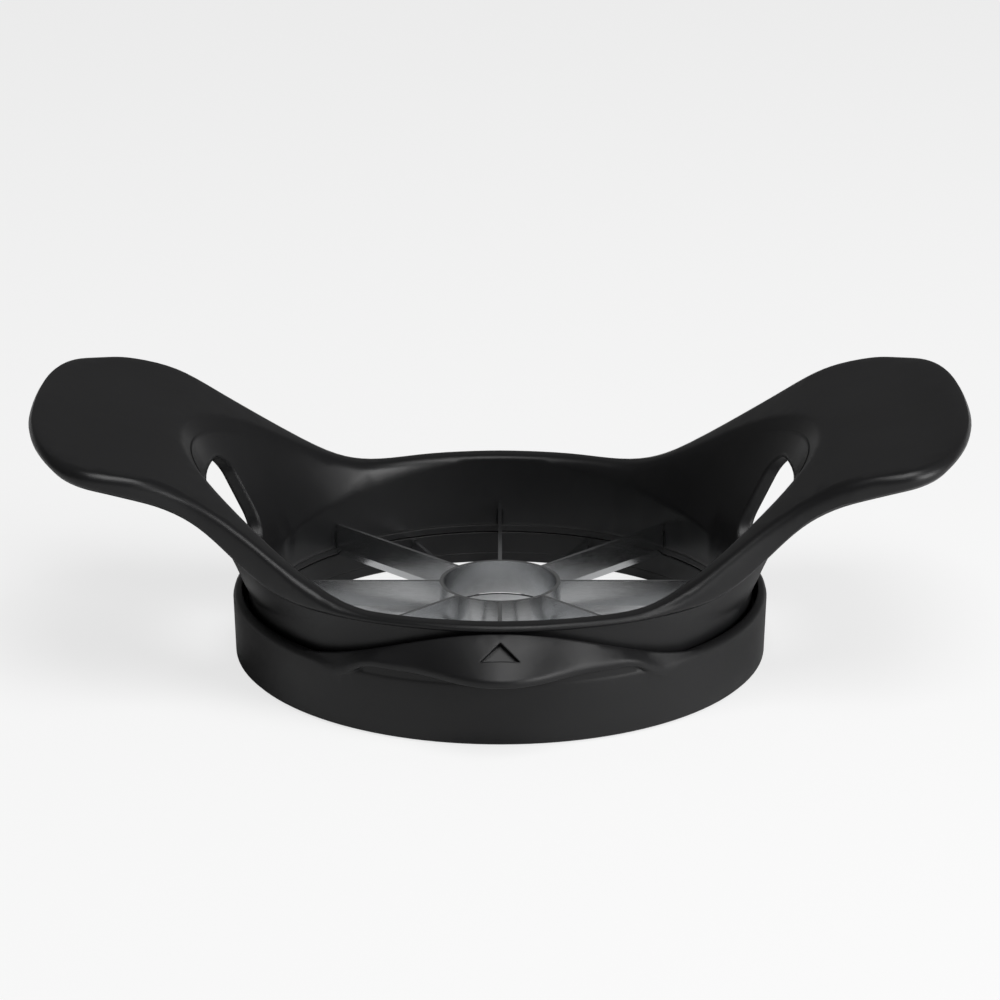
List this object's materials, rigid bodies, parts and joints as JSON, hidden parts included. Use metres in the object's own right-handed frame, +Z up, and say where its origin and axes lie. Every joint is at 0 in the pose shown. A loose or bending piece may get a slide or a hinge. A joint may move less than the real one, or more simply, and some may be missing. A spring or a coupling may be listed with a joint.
{
  "type": "wedge slicer",
  "caption": "Hand-pressed wedge slicer and corer with two wing handles and a dial ring that turns to double the number of cuts.",
  "frame": {"origin": "on the axis of the dial, at the plane of its flat foot", "axes": "+Z up along the dial's axis, X from wing tip to wing tip, the thumb ledge points to -Y"},
  "size_m": [0.1898, 0.1172, 0.0538],
  "materials": {
    "frame_plastic": "satin black moulding",
    "dial_plastic": "satin black moulding",
    "retainer_plastic": "matte black moulding",
    "blade_steel": "stainless, ground edge",
    "core_steel": "stainless, ground edge"
  },
  "bodies": {
    "frame": {"frame": "frame_plastic", "upper_blade_retainer": "retainer_plastic", "upper_core_ring": "core_steel", "upper_blade_1": "blade_steel", "upper_blade_2": "blade_steel", "upper_blade_3": "blade_steel", "upper_blade_4": "blade_steel", "upper_blade_5": "blade_steel", "upper_blade_6": "blade_steel", "upper_blade_7": "blade_steel", "upper_blade_8": "blade_steel"},
    "dial": {"dial_ring": "dial_plastic", "lower_blade_retainer": "retainer_plastic", "lower_core_ring": "core_steel", "lower_blade_1": "blade_steel", "lower_blade_2": "blade_steel", "lower_blade_3": "blade_steel", "lower_blade_4": "blade_steel", "lower_blade_5": "blade_steel", "lower_blade_6": "blade_steel", "lower_blade_7": "blade_steel", "lower_blade_8": "blade_steel"}
  },
  "joints": [
    {"name": "dial_turn", "type": "hinge", "parent": "frame", "child": "dial", "pos_m": [0, 0, 0], "axis": [0, 0, 1], "range_deg": [0, 22.5]}
  ]
}
